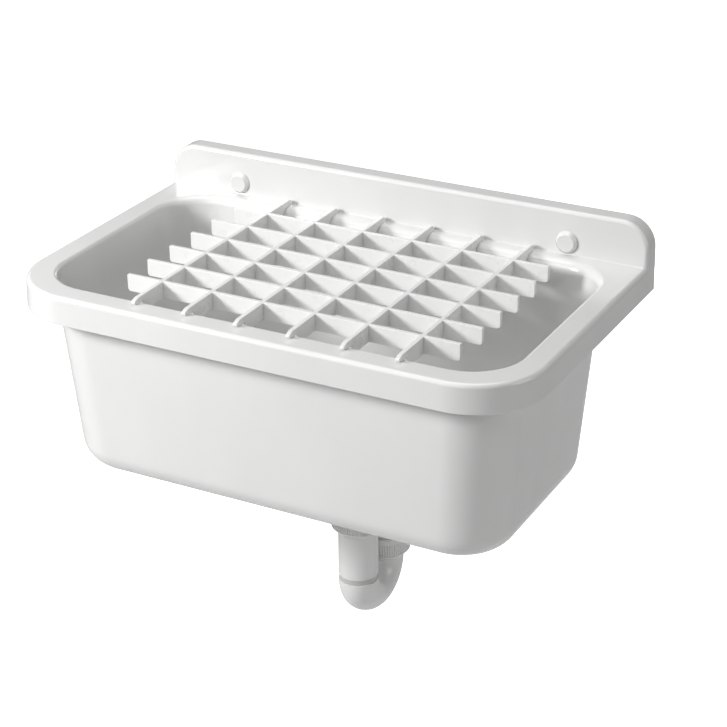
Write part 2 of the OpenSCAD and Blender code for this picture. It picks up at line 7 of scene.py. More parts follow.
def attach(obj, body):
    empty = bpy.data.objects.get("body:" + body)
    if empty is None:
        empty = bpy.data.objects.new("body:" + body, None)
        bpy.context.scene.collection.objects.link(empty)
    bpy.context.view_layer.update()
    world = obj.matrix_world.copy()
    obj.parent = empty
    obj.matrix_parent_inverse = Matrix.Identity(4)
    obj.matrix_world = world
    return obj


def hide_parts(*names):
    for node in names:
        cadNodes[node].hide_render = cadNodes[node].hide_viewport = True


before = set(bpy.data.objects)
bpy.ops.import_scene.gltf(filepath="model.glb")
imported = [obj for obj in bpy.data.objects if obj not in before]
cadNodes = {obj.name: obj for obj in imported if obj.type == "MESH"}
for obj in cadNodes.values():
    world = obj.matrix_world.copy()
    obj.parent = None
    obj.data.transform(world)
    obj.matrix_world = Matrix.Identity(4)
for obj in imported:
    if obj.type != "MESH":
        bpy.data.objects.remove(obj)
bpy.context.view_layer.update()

mm = 0.001  # sizes in the dictionaries are millimetres
scene = bpy.context.scene


# meshes

def newPiece(name, points, faces, material):
    mesh = bpy.data.meshes.new(name)
    mesh.from_pydata([tuple(c * mm for c in p) for p in points], [], faces)
    piece = bpy.data.objects.new(name, mesh)
    scene.collection.objects.link(piece)
    shape = bmesh.new()
    shape.from_mesh(mesh)
    bmesh.ops.remove_doubles(shape, verts=shape.verts, dist=0.002 * mm)
    bmesh.ops.recalc_face_normals(shape, faces=shape.faces)
    shape.to_mesh(mesh)
    shape.free()
    mesh.materials.append(material)
    return piece


def loftFaces(ringCount, ringSize, around=True, caps=True):
    faces = []
    for k in range(ringCount - 1):
        for i in range(ringSize if around else ringSize - 1):
            j = (i + 1) % ringSize
            faces.append((k * ringSize + i, (k + 1) * ringSize + i, (k + 1) * ringSize + j, k * ringSize + j))
    if caps:
        faces.append(tuple(range(ringSize)))
        faces.append(tuple(reversed(range((ringCount - 1) * ringSize, ringCount * ringSize))))
    return faces


def loftPiece(name, rings, material):
    points = [p for ring in rings for p in ring]
    return newPiece(name, points, loftFaces(len(rings), len(rings[0])), material)


def turnedPiece(name, profile, place, material, steps=96):
    # profile: closed outline of (radius, height), turned about the upright line through place
    rings = []
    for k in range(steps):
        a = 2 * math.pi * k / steps
        c, n = math.cos(a), math.sin(a)
        rings.append([(place[0] + r * c, place[1] + r * n, place[2] + h) for r, h in profile])
    rings.append(rings[0])
    points = [p for ring in rings for p in ring]
    return newPiece(name, points, loftFaces(len(rings), len(profile), caps=False), material)


def arcPoints(cx, cy, r, start, end, steps):
    return [(cx + r * math.cos(math.radians(start + (end - start) * k / steps)),
             cy + r * math.sin(math.radians(start + (end - start) * k / steps))) for k in range(steps + 1)]


def prism(name, outline, x0, x1, material):
    # outline: (y, z) points, run along X
    return loftPiece(name, [[(x, y, z) for y, z in outline] for x in (x0, x1)], material)


def roundBar(name, start, direction, length, r, material, steps=96):
    # a plain round cutter or boss along one axis
    axis = Vector(direction).normalized()
    side = axis.orthogonal().normalized()
    other = axis.cross(side)
    rings = []
    for d in (0, length):
        centre = Vector(start) + axis * d
        rings.append([tuple(centre + side * r * math.cos(2 * math.pi * k / steps)
                            + other * r * math.sin(2 * math.pi * k / steps)) for k in range(steps)])
    return loftPiece(name, rings, material)


def applied(piece):
    # the evaluated piece as a plain mesh, with its modifiers gone
    bpy.context.view_layer.update()
    graph = bpy.context.evaluated_depsgraph_get()
    mesh = bpy.data.meshes.new_from_object(piece.evaluated_get(graph), depsgraph=graph)
    piece.modifiers.clear()
    piece.data = mesh
    return piece


def carved(piece, others, operation):
    # unites a piece with others, or cuts them from it
    group = bpy.data.collections.new(piece.name + operation)
    scene.collection.children.link(group)
    for other in others:
        scene.collection.objects.unlink(other)
        group.objects.link(other)
    change = piece.modifiers.new(operation, "BOOLEAN")
    change.operation = operation
    change.operand_type = "COLLECTION"
    change.collection = group
    change.solver = "EXACT"
    applied(piece)
    for other in others:
        bpy.data.objects.remove(other)
    bpy.data.collections.remove(group)
    return piece


def smoothed(piece, angle=32, weighted=True):
    mesh = piece.data
    mesh.polygons.foreach_set("use_smooth", [True] * len(mesh.polygons))
    mesh.set_sharp_from_angle(angle=math.radians(angle))
    if weighted:
        even = piece.modifiers.new("evenNormals", "WEIGHTED_NORMAL")
        even.keep_sharp = True
        even.weight = 50
        applied(piece)
    return piece


def softened(piece, width, angle=40, segments=2):
    edge = piece.modifiers.new("softEdges", "BEVEL")
    edge.width = width * mm
    edge.segments = segments
    edge.limit_method = "ANGLE"
    edge.angle_limit = math.radians(angle)
    edge.use_clamp_overlap = True
    return applied(piece)


def joined(name, pieces):
    with bpy.context.temp_override(active_object=pieces[0], selected_editable_objects=pieces):
        bpy.ops.object.join()
    pieces[0].name = name
    return pieces[0]


def settled(piece, body, node):
    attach(piece, body)
    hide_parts(node)
    return piece


# finishes

def newFinish(name, colour, roughness, metallic=0.0, ior=1.5):
    finish = bpy.data.materials.new(name)
    finish.use_nodes = True
    shader = finish.node_tree.nodes["Principled BSDF"]
    shader.inputs["Base Color"].default_value = (*colour, 1)
    shader.inputs["Roughness"].default_value = roughness
    shader.inputs["Metallic"].default_value = metallic
    shader.inputs["IOR"].default_value = ior
    return finish, finish.node_tree.nodes, finish.node_tree.links, shader


def addNoise(nodes, links, scale, detail=3.0, stretch=(1, 1, 1)):
    place = nodes.new("ShaderNodeTexCoord")
    turn = nodes.new("ShaderNodeMapping")
    turn.inputs["Scale"].default_value = stretch
    noise = nodes.new("ShaderNodeTexNoise")
    noise.inputs["Scale"].default_value = scale
    noise.inputs["Detail"].default_value = detail
    links.new(place.outputs["Object"], turn.inputs["Vector"])
    links.new(turn.outputs["Vector"], noise.inputs["Vector"])
    return noise


def addRange(nodes, links, source, low, high):
    span = nodes.new("ShaderNodeMapRange")
    span.inputs["From Min"].default_value = 0.3
    span.inputs["From Max"].default_value = 0.7
    span.inputs["To Min"].default_value = low
    span.inputs["To Max"].default_value = high
    links.new(source, span.inputs["Value"])
    return span.outputs["Result"]


def addTint(nodes, links, source, first, second):
    tint = nodes.new("ShaderNodeMix")
    tint.data_type = "RGBA"
    tint.inputs["A"].default_value = (*first, 1)
    tint.inputs["B"].default_value = (*second, 1)
    links.new(source, tint.inputs["Factor"])
    return tint.outputs["Result"]


def addBump(nodes, links, shader, layers):
    # layers: (height socket, distance in mm, strength), the coarsest first
    previous = None
    for source, distance, strength in layers:
        bump = nodes.new("ShaderNodeBump")
        bump.inputs["Distance"].default_value = distance * mm
        bump.inputs["Strength"].default_value = strength
        links.new(source, bump.inputs["Height"])
        if previous:
            links.new(previous, bump.inputs["Normal"])
        previous = bump.outputs["Normal"]
    links.new(previous, shader.inputs["Normal"])


plastic = {"coat": 0.25, "coatRoughness": 0.12, "glow": 0.06, "glowReach": 2.5, "flowScale": 14,
           "cloudScale": 45, "sinkScale": 9, "sinkDepth": 1.2, "peelScale": 700, "peelDepth": 0.05,
           "peelStrength": 0.25}


def mouldedPlastic(name, colour, shade, roughness, sink, haze=0.04):
    # glossy moulded plastic: faint flow marks, a fine orange-peel skin, slow sink marks
    finish, nodes, links, shader = newFinish(name, colour, roughness)
    shader.inputs["Coat Weight"].default_value = plastic["coat"]
    shader.inputs["Coat Roughness"].default_value = plastic["coatRoughness"]
    shader.inputs["Subsurface Weight"].default_value = plastic["glow"]
    shader.inputs["Subsurface Radius"].default_value = (1.0, 0.9, 0.8)
    shader.inputs["Subsurface Scale"].default_value = plastic["glowReach"] * mm
    flow = addNoise(nodes, links, plastic["flowScale"], 2, (1, 1, 0.35))  # drawn out upwards, as the melt ran
    links.new(addTint(nodes, links, addRange(nodes, links, flow.outputs["Fac"], 0, 1), colour, shade),
              shader.inputs["Base Color"])
    cloud = addNoise(nodes, links, plastic["cloudScale"], 4)
    links.new(addRange(nodes, links, cloud.outputs["Fac"], roughness - haze, roughness + haze),
              shader.inputs["Roughness"])
    slow = addNoise(nodes, links, plastic["sinkScale"], 1)
    peel = addNoise(nodes, links, plastic["peelScale"], 2)
    addBump(nodes, links, shader, [(slow.outputs["Fac"], plastic["sinkDepth"], sink),
                                   (peel.outputs["Fac"], plastic["peelDepth"], plastic["peelStrength"])])
    return finish


def brushedMetal(name, colour, shade, roughness, stretch):
    finish, nodes, links, shader = newFinish(name, colour, roughness, metallic=1.0)
    lines = addNoise(nodes, links, 260, 3, stretch)
    links.new(addTint(nodes, links, lines.outputs["Fac"], colour, shade), shader.inputs["Base Color"])
    links.new(addRange(nodes, links, lines.outputs["Fac"], roughness - 0.06, roughness + 0.1),
              shader.inputs["Roughness"])
    addBump(nodes, links, shader, [(lines.outputs["Fac"], 0.03, 0.4)])
    return finish


def mouldedRubber(name, colour, shade):
    finish, nodes, links, shader = newFinish(name, colour, 0.6)
    dust = addNoise(nodes, links, 120, 5)
    links.new(addTint(nodes, links, addRange(nodes, links, dust.outputs["Fac"], 0, 1), colour, shade),
              shader.inputs["Base Color"])
    fine = addNoise(nodes, links, 1500, 2)
    addBump(nodes, links, shader, [(dust.outputs["Fac"], 0.1, 0.3), (fine.outputs["Fac"], 0.03, 0.4)])
    return finish


# colour, shade of the flow marks, roughness, sink marks, haze
basinPlastic = mouldedPlastic("basinPlastic", (0.77, 0.77, 0.765), (0.745, 0.745, 0.74), 0.20, 0.06)
gratePlastic = mouldedPlastic("gratePlastic", (0.84, 0.84, 0.835), (0.83, 0.83, 0.825), 0.28, 0.02, 0.015)
capPlastic = mouldedPlastic("capPlastic", (0.78, 0.78, 0.775), (0.755, 0.755, 0.75), 0.18, 0.02)
fittingPlastic = mouldedPlastic("fittingPlastic", (0.76, 0.76, 0.755), (0.735, 0.735, 0.73), 0.30, 0.05, 0.015)
tubePlastic = mouldedPlastic("tubePlastic", (0.76, 0.76, 0.755), (0.735, 0.735, 0.73), 0.24, 0.05, 0.015)
sealPlastic = mouldedPlastic("sealPlastic", (0.55, 0.55, 0.545), (0.50, 0.50, 0.495), 0.45, 0.02)
strainerSteel = brushedMetal("strainerSteel", (0.62, 0.62, 0.60), (0.52, 0.52, 0.51), 0.28, (1, 8, 1))
screwSteel = brushedMetal("screwSteel", (0.60, 0.60, 0.58), (0.50, 0.50, 0.49), 0.22, (6, 1, 6))
turnedBrass = brushedMetal("turnedBrass", (0.72, 0.52, 0.24), (0.60, 0.42, 0.18), 0.25, (1, 1, 9))
sealRubber = mouldedRubber("sealRubber", (0.045, 0.045, 0.045), (0.075, 0.073, 0.07))
print("finishes made")


# geometry node trees for what repeats

def newTree(name, sizes):
    tree = bpy.data.node_groups.new(name, "GeometryNodeTree")
    tree.interface.new_socket("Geometry", in_out="INPUT", socket_type="NodeSocketGeometry")
    for label, kind in sizes:
        tree.interface.new_socket(label, in_out="INPUT", socket_type="NodeSocket" + kind)
    tree.interface.new_socket("Geometry", in_out="OUTPUT", socket_type="NodeSocketGeometry")
    return tree, tree.nodes.new("NodeGroupInput"), tree.nodes.new("NodeGroupOutput")


def endTree(tree, given, result, geometry):
    # every tree ends in real geometry with its finish set
    real = tree.nodes.new("GeometryNodeRealizeInstances")
    finish = tree.nodes.new("GeometryNodeSetMaterial")
    tree.links.new(geometry, real.inputs["Geometry"])
    tree.links.new(real.outputs["Geometry"], finish.inputs["Geometry"])
    tree.links.new(given.outputs["Finish"], finish.inputs["Material"])
    tree.links.new(finish.outputs["Geometry"], result.inputs["Geometry"])


def rowTree():
    # copies of a piece at equal steps in a row
    sizes = [("Count", "Int"), ("Step", "Vector"), ("Finish", "Material")]
    tree, given, result = newTree("barsInARow", sizes)
    line = tree.nodes.new("GeometryNodeMeshLine")
    place = tree.nodes.new("GeometryNodeInstanceOnPoints")
    tree.links.new(given.outputs["Count"], line.inputs["Count"])
    tree.links.new(given.outputs["Step"], line.inputs["Offset"])
    tree.links.new(line.outputs["Mesh"], place.inputs["Points"])
    tree.links.new(given.outputs["Geometry"], place.inputs["Instance"])
    endTree(tree, given, result, place.outputs["Instances"])
    return tree


def aroundTree():
    # copies of a piece turned about an upright axis
    sizes = [("Count", "Int"), ("Axis", "Vector"), ("Finish", "Material")]
    tree, given, result = newTree("ribsRoundAxis", sizes)
    spots = tree.nodes.new("GeometryNodePoints")
    place = tree.nodes.new("GeometryNodeInstanceOnPoints")
    number = tree.nodes.new("GeometryNodeInputIndex")
    share = tree.nodes.new("ShaderNodeMath")
    share.operation = "DIVIDE"
    angle = tree.nodes.new("ShaderNodeMath")
    angle.operation = "MULTIPLY"
    angle.inputs[1].default_value = 2 * math.pi
    turn = tree.nodes.new("ShaderNodeCombineXYZ")
    spin = tree.nodes.new("GeometryNodeRotateInstances")
    spin.inputs["Local Space"].default_value = False
    tree.links.new(given.outputs["Count"], spots.inputs["Count"])
    tree.links.new(spots.outputs["Points"], place.inputs["Points"])
    tree.links.new(given.outputs["Geometry"], place.inputs["Instance"])
    tree.links.new(number.outputs["Index"], share.inputs[0])
    tree.links.new(given.outputs["Count"], share.inputs[1])
    tree.links.new(share.outputs["Value"], angle.inputs[0])
    tree.links.new(angle.outputs["Value"], turn.inputs["Z"])
    tree.links.new(place.outputs["Instances"], spin.inputs["Instances"])
    tree.links.new(turn.outputs["Vector"], spin.inputs["Rotation"])
    tree.links.new(given.outputs["Axis"], spin.inputs["Pivot Point"])
    endTree(tree, given, result, spin.outputs["Instances"])
    return tree


def repeated(piece, tree, values):
    change = piece.modifiers.new(tree.name, "NODES")
    change.node_group = tree
    names = {item.name: item.identifier for item in tree.interface.items_tree
             if item.item_type == "SOCKET" and item.in_out == "INPUT"}
    for label, value in values.items():
        change[names[label]] = value
    return applied(piece)


inARow = rowTree()
roundAxis = aroundTree()
print("node trees made")


basin = {"width": 510, "depth": 314, "skirtHeight": 27, "flare": 0.6, "cornerR": 68, "edgeR": 4.5,
         "wall": 3.5, "rimDrop": 12, "splashHeight": 42, "splashDepth": 20, "splashLean": 2.3,
         "splashCornerR": 27, "splashEdgeR": 4, "coveR": 1.2, "openWidth": 459, "openDepth": 250,
         "openRear": 37.5, "tubHeight": 194,
         "draft": 4, "tubCornerR": 48.5, "floorR": 21.5, "mouthFrontR": 3.5, "mouthRearR": 9, "lipR": 0.9,
         "screwSpacing": 350, "screwHoleR": 4, "bossR": 12.5, "spotR": 11.2, "spotDepth": 0.5, "ribT": 3,
         "ribPitch": 58, "ribPairs": 3, "propDrop": 84, "propSpacing": 290, "drainBack": 105, "drainR": 26,
         "recessR": 36, "recessDepth": 3, "underRimR": 2, "cutPast": 2}
rimZ = -basin["rimDrop"]
skirtZ = rimZ - basin["skirtHeight"]
splashZ = rimZ + basin["splashHeight"]
floorZ = rimZ - basin["tubHeight"] + basin["wall"]
underZ = rimZ - basin["tubHeight"]
drainY = -basin["drainBack"]
openFront = -basin["openRear"] - basin["openDepth"]
openBack = -basin["openRear"]


def mixed(a, b, t):
    return a + (b - a) * t


def faceY(z):
    # the splashback's leaning face
    return -basin["splashDepth"] + basin["splashLean"] * (z - rimZ) / basin["splashHeight"]


def sideX(z):
    # the flared sides of skirt and splashback
    slope = basin["flare"] / (basin["skirtHeight"] - basin["edgeR"])
    return basin["width"] / 2 - (z - skirtZ) * slope


def makeStations(cornerSteps, longSteps, sideSteps):
    # (side, way back, angle) round the basin, anticlockwise from the front right corner
    stations = [(1, k / sideSteps, 0) for k in range(1, sideSteps)]
    stations += [(1, 1, 90 * k / cornerSteps) for k in range(cornerSteps + 1)]
    stations += [(1 - 2 * k / longSteps, 1, 90) for k in range(1, longSteps)]
    stations += [(-1, 1, 90 + 90 * k / cornerSteps) for k in range(cornerSteps + 1)]
    stations += [(-1, 1 - k / sideSteps, 180) for k in range(1, sideSteps)]
    stations += [(-1, 0, 180 + 90 * k / cornerSteps) for k in range(cornerSteps + 1)]
    stations += [(-1 + 2 * k / longSteps, 0, 270) for k in range(1, longSteps)]
    stations += [(1, 0, 270 + 90 * k / cornerSteps) for k in range(cornerSteps + 1)]
    return stations


def outlinePoint(station, half, front, back, frontR, backR, z):
    side, way, angle = station
    r = mixed(frontR, backR, way)
    x = side * (half - r) + r * math.cos(math.radians(angle))
    y = mixed(front + frontR, back - backR, way) + r * math.sin(math.radians(angle))
    return (x, y, z)


def tubPoint(station, grow, z):
    inset = (rimZ - z) * math.tan(math.radians(basin["draft"]))
    r = basin["tubCornerR"] + grow
    return outlinePoint(station, basin["openWidth"] / 2 - inset + grow, openFront + inset - grow,
                        openBack - inset + grow, r, r, z)


def mouthPoint(station, angle):
    # the opening's edge grows round the rear corners
    r = mixed(basin["mouthFrontR"], basin["mouthRearR"], max(0, math.sin(math.radians(station[2]))))
    a = math.radians(angle)
    return tubPoint(station, r * (1 - math.cos(a)), rimZ - r * (1 - math.sin(a)))


def rimPoint(station, inset, z, backInset=0):
    return outlinePoint(station, basin["width"] / 2 - inset, inset - basin["depth"], -backInset,
                        basin["cornerR"] - inset, 1, z)


def floorRings(stations, grow, angles):
    r = basin["floorR"] + grow
    rings = []
    for a in angles:
        c, n = math.cos(math.radians(a)), math.sin(math.radians(a))
        rings.append([tubPoint(s, grow - r * (1 - c), floorZ - grow + r * (1 - n)) for s in stations])
    return rings


def basinShell():
    # one closed skin: tub inside, opening's edge, rim, skirt, underside, tub outside
    stations = makeStations(24, 12, 14)
    wall, lip, flare, edge = basin["wall"], basin["lipR"], basin["flare"], basin["edgeR"]
    rings = floorRings(stations, 0, range(90, -1, -6))
    rings += [[mouthPoint(s, a) for s in stations] for a in range(0, 91, 6)]
    for a in range(90, -1, -9):
        c, n = math.cos(math.radians(a)), math.sin(math.radians(a))
        rings.append([rimPoint(s, flare + edge * (1 - c), rimZ - edge * (1 - n)) for s in stations])
    for a in range(0, 91, 18):
        c, n = math.cos(math.radians(a)), math.sin(math.radians(a))
        rings.append([rimPoint(s, lip * (1 - c), skirtZ + lip * (1 - n)) for s in stations])
    for a in range(90, -1, -18):
        c, n = math.cos(math.radians(a)), math.sin(math.radians(a))
        rings.append([rimPoint(s, wall - lip * (1 - c), skirtZ + lip * (1 - n), wall) for s in stations])
    inner = basin["underRimR"]  # small fillets under the rim
    for a in range(0, 91, 18):
        c, n = math.cos(math.radians(a)), math.sin(math.radians(a))
        rings.append([rimPoint(s, wall + flare + inner * (1 - c), rimZ - wall - inner * (1 - n), wall)
                      for s in stations])
    for a in range(90, -1, -18):
        c, n = math.cos(math.radians(a)), math.sin(math.radians(a))
        rings.append([tubPoint(s, wall + inner * (1 - c), rimZ - wall - inner * (1 - n)) for s in stations])
    rings += floorRings(stations, wall, range(0, 91, 6))
    return loftPiece("basinShell", rings, basinPlastic)


def splashBlock():
    cornerZ = splashZ - basin["splashCornerR"]
    cornerX = sideX(cornerZ) - basin["splashCornerR"]
    lowZ = rimZ - basin["edgeR"]
    edge = basin["splashEdgeR"]

    def ring(inset, back):
        r = basin["splashCornerR"] - inset
        outline = [(-sideX(lowZ) + inset, lowZ), (sideX(lowZ) - inset, lowZ)]
        outline += arcPoints(cornerX, cornerZ, r, 0, 90, 24) + arcPoints(-cornerX, cornerZ, r, 90, 180, 24)
        return [(x, 0 if back is None else faceY(z) + back, z) for x, z in outline]

    rings = [ring(edge * (1 - math.sin(math.radians(a))), edge * (1 - math.cos(math.radians(a))))
             for a in range(0, 91, 9)]
    return loftPiece("splashBlock", rings + [ring(0, None)], basinPlastic)


def splashHollow():
    # what is open behind the splashback, cut with its rounded upper corners
    wall, past = basin["wall"], basin["cutPast"]
    lowZ = skirtZ - past
    cornerZ = splashZ - basin["splashCornerR"]
    cornerX = sideX(cornerZ) - basin["splashCornerR"]
    r = basin["splashCornerR"] - wall
    outline = [(-sideX(lowZ) + wall, lowZ), (sideX(lowZ) - wall, lowZ)]
    outline += arcPoints(cornerX, cornerZ, r, 0, 90, 16) + arcPoints(-cornerX, cornerZ, r, 90, 180, 16)
    front = [(x, faceY(max(z, rimZ)) + wall, z) for x, z in outline]
    return loftPiece("splashHollow", [front, [(x, past, z) for x, z in outline]], basinPlastic)


def backRib(x, lowZ):
    embed = basin["wall"] / 2
    slope = math.tan(math.radians(basin["draft"]))
    edge = basin["splashEdgeR"]
    mouth = basin["mouthRearR"]
    outline = [(0, lowZ), (0, splashZ - embed), (faceY(splashZ) + edge, splashZ - embed),
               (faceY(splashZ - edge) + embed, splashZ - edge), (faceY(rimZ) + embed, rimZ - embed)]
    outline += arcPoints(openBack + mouth, rimZ - mouth, mouth - embed, 90, 180, 8)
    outline.append((openBack + embed - (rimZ - lowZ) * slope, lowZ))
    return prism("backRib", outline, x - basin["ribT"] / 2, x + basin["ribT"] / 2, basinPlastic)


def splashCove():
    # the small round where the splashback's face meets the rim
    r = basin["coveR"]
    front = faceY(rimZ)
    outline = [(front + 1, rimZ - 1), (front + 1, rimZ + r)]
    outline += arcPoints(front - r, rimZ + r, r, 0, -90, 6) + [(front - r, rimZ - 1)]
    half = sideX(rimZ) - basin["splashEdgeR"]
    return prism("splashCove", outline, -half, half, basinPlastic)


def makeBasin():
    # the shell, then what stands on it, then what is cut from it; cuts run a little past the faces
    shell = basinShell()
    carved(shell, [splashBlock(), splashCove()], "UNION")
    carved(shell, [splashHollow()], "DIFFERENCE")
    wall, recess, up, out = basin["wall"], basin["recessDepth"], (0, 0, 1), (0, -1, 0)
    added = [roundBar("drainBoss", (0, drainY, floorZ - recess - wall), up, wall + recess - 1,
                      basin["recessR"] + wall, basinPlastic)]
    holes = [roundBar("recess", (0, drainY, floorZ - recess), up, recess + 5, basin["recessR"], basinPlastic),
             roundBar("drain", (0, drainY, floorZ - 20), up, 30, basin["drainR"], basinPlastic)]
    for k in range(-basin["ribPairs"], basin["ribPairs"] + 1):
        added.append(backRib(k * basin["ribPitch"], skirtZ))
    past, seatY = basin["cutPast"], faceY(0) + basin["spotDepth"]
    for side in (-1, 1):
        x = side * basin["screwSpacing"] / 2
        added.append(backRib(side * basin["propSpacing"] / 2, skirtZ - basin["propDrop"]))
        added.append(roundBar("boss", (x, 0, 0), out, -seatY - 1, basin["bossR"], basinPlastic))
        holes.append(roundBar("screwHole", (x, past, 0), out, 40, basin["screwHoleR"], basinPlastic))
        holes.append(roundBar("spot", (x, seatY, 0), out, 3, basin["spotR"], basinPlastic))
    carved(shell, added, "UNION")
    carved(shell, holes, "DIFFERENCE")
    shell.name = "basinMoulding"
    smoothed(shell)
    return settled(shell, "sink", "basin")


makeBasin()
print("basin made")


grate = {"bars": 6, "longPitch": 51.7, "crossPitch": 37, "thickness": 4, "height": 15.8, "rise": 6.1,
         "shift": 12.6, "crossEnd": 38.8, "endTrim": 3, "crossRear": 67, "noseFront": 299, "noseSlope": 6,
         "noseEnd": 1.8, "noseGap": 2.8, "webGap": 2.5, "cornerR": 3, "hookPlay": 2, "hookSet": 1,
         "edgeR": 0.7}


def longBarOutline():
    # side view of a long bar: a pointed front nose and a round rear one on the rim, a hook under the rear
    top = rimZ + grate["rise"]
    low = top - grate["height"]
    tipR = grate["rise"] / 2
    web = openFront + grate["webGap"]
    slope = grate["noseSlope"] - grate["noseFront"]
    tip = -basin["splashDepth"] - grate["noseGap"] - tipR
    hookR = basin["mouthRearR"] + grate["hookPlay"]
    hookY = openBack + basin["mouthRearR"] - grate["hookSet"]
    drop = hookR - (rimZ - low)  # the hook's arc starts where it meets the bar's lower edge
    start = math.degrees(math.acos(drop / hookR))
    outline = [(slope, rimZ)]
    outline += [(-grate["noseFront"], top - tipR + side * grate["noseEnd"] / 2) for side in (-1, 1)]
    outline += [(slope, top), (tip, top)] + arcPoints(tip, top - tipR, tipR, 90, -90, 12)[1:]
    outline += arcPoints(hookY, rimZ - hookR, hookR, 90, 90 + start, 10)
    outline += [(web + tipR, low), (web, low + tipR), (web, rimZ)]
    return outline


def crossBars(name, reach, first, count, step):
    # a row of equal cross bars with rounded lower corners
    half = grate["thickness"] / 2
    top = rimZ + grate["rise"]
    low = top - grate["height"]
    r = grate["cornerR"]
    outline = [(-reach, top), (-reach, low + r)] + arcPoints(-reach + r, low + r, r, 180, 270, 5)[1:]
    outline += arcPoints(reach - r, low + r, r, 270, 360, 5) + [(reach, top)]
    y = -grate["crossRear"] - first * grate["crossPitch"]
    rings = [[(grate["shift"] + u, v, w) for u, w in outline] for v in (y - half, y + half)]
    piece = loftPiece(name, rings, gratePlastic)
    move = (0, -step * grate["crossPitch"] * mm, 0)
    return repeated(piece, inARow, {"Count": count, "Step": move, "Finish": gratePlastic})


def makeGrate():
    half = grate["thickness"] / 2
    reach = (grate["bars"] - 1) * grate["longPitch"] / 2
    x = grate["shift"] - reach
    longBars = prism("longBars", longBarOutline(), x - half, x + half, gratePlastic)
    move = (grate["longPitch"] * mm, 0, 0)
    repeated(longBars, inARow, {"Count": grate["bars"], "Step": move, "Finish": gratePlastic})
    end = reach + grate["crossEnd"]
    inner = crossBars("innerBars", end, 1, grate["bars"] - 2, 1)
    outer = crossBars("outerBars", end - grate["endTrim"], 0, 2, grate["bars"] - 1)
    carved(longBars, [inner, outer], "UNION")
    softened(longBars, grate["edgeR"], segments=3)
    smoothed(longBars, 40)
    longBars.name = "liftGrate"
    return settled(longBars, "grate", "grate")


makeGrate()
print("grate made")


cap = {"boreR": 9.2, "wall": 1.5, "height": 4.9, "frontR": 8, "bevel": 0.5, "bandHeight": 1.2, "seat": 2.3,
       "dish": 0.12, "edge": 0.2}


def makeCap(side):
    # a straight foot, a tapered side and a softly edged front, hollow behind
    r, h, edge, band = cap["boreR"] + cap["wall"], cap["height"], cap["edge"], cap["bandHeight"]
    front, bevel, top = cap["frontR"], cap["bevel"], cap["height"] - cap["wall"]
    profile = [(cap["boreR"], 0), (r - edge, 0), (r, edge), (r, band - edge), (r - edge / 2, band + edge / 2)]
    start, corner, end = (front + bevel + 0.15, h - bevel - edge), (front + bevel * 0.8, h), (front - 0.3, h)
    for k in range(7):  # a curve from start to end, drawn towards corner
        t = k / 6
        bend = ((1 - t) ** 2, 2 * t * (1 - t), t * t)
        profile.append(tuple(bend[0] * u + bend[1] * v + bend[2] * w for u, v, w in zip(start, corner, end)))
    hollow = front - cap["wall"]
    profile += [(front - 1.5, h - cap["dish"] / 2), (0, h - cap["dish"]), (0, top), (hollow - 0.3, top),
                (hollow, top - 0.15), (cap["boreR"], cap["seat"])]
    seatY = faceY(0) + basin["spotDepth"]
    piece = turnedPiece("coverCap", profile, (0, 0, 0), capPlastic)
    place = Matrix.Translation((side * basin["screwSpacing"] / 2 * mm, seatY * mm, 0))
    piece.data.transform(place @ Matrix.Rotation(math.radians(90), 4, "X"))
    word = "left" if side < 0 else "right"
    piece.name = "coverCap" + word.capitalize()
    smoothed(piece)
    return settled(piece, "cap_" + word, "cover_cap_" + word)


makeCap(-1)
makeCap(1)
print("caps made")


trap = {"tubeR": 20, "boreR": 17.8, "legGap": 56, "bendDrop": 154.5, "inletRise": 55, "outletRise": 1,
        "grooveHeight": 6, "grooveDepth": 1, "elbowR": 30, "slip": 25, "shoulder": 4, "threadR": 24,
        "socketR": 20.3, "coneHeight": 5, "play": 0.3, "threadPitch": 2.3, "threadDepth": 0.65,
        "spigotHeight": 16}
nut = {"r": 26.5, "height": 26, "coneHeight": 6, "gripHeight": 14, "grips": 66, "gripDepth": 0.8,
       "gripWidth": 1.3, "lip": 4, "boreR": 24.3, "holeR": 20.3}
bendZ = underZ - trap["bendDrop"]
rearY = drainY + trap["legGap"]
socketRise = nut["lip"] + trap["coneHeight"] + 2 * trap["play"]
elbowZ = bendZ + trap["outletRise"] + socketRise + trap["slip"] + trap["shoulder"]


def makeNut(name, y, z, node):
    r, band = nut["r"], nut["r"] - nut["gripDepth"]
    cone, top = nut["coneHeight"], nut["coneHeight"] + nut["gripHeight"]
    hole, bore, high = nut["holeR"], nut["boreR"], nut["height"]
    profile = [(hole, 0.4), (hole + 0.4, 0), (hole + 1, 0), (r - 0.6, cone - 0.5), (r, cone), (r, cone + 0.4),
               (band, cone + 0.8), (band, top - 0.8), (r, top - 0.4), (r, high - 0.8), (r - 0.8, high),
               (bore + 0.6, high), (bore, high - 0.6), (bore, nut["lip"]), (hole, nut["lip"])]
    body = turnedPiece(name, profile, (0, y, z), fittingPlastic, 120)
    smoothed(body, 40)
    w = nut["gripWidth"] / 2
    section = [(band - 0.5, -w), (band, -w)] + arcPoints(band, 0, w, -90, 90, 6)[1:-1]
    section = [(min(u, r), v) for u, v in section + [(band, w), (band - 0.5, w)]]
    rings = [[(u, y + v, z + h) for u, v in section] for h in (cone + 0.6, top - 0.6)]
    rib = loftPiece(name + "Grip", rings, fittingPlastic)
    repeated(rib, roundAxis, {"Count": nut["grips"], "Axis": (0, y * mm, 0), "Finish": fittingPlastic})
    smoothed(rib, 50, weighted=False)
    piece = joined(name, [body, rib])
    return settled(piece, node, node)


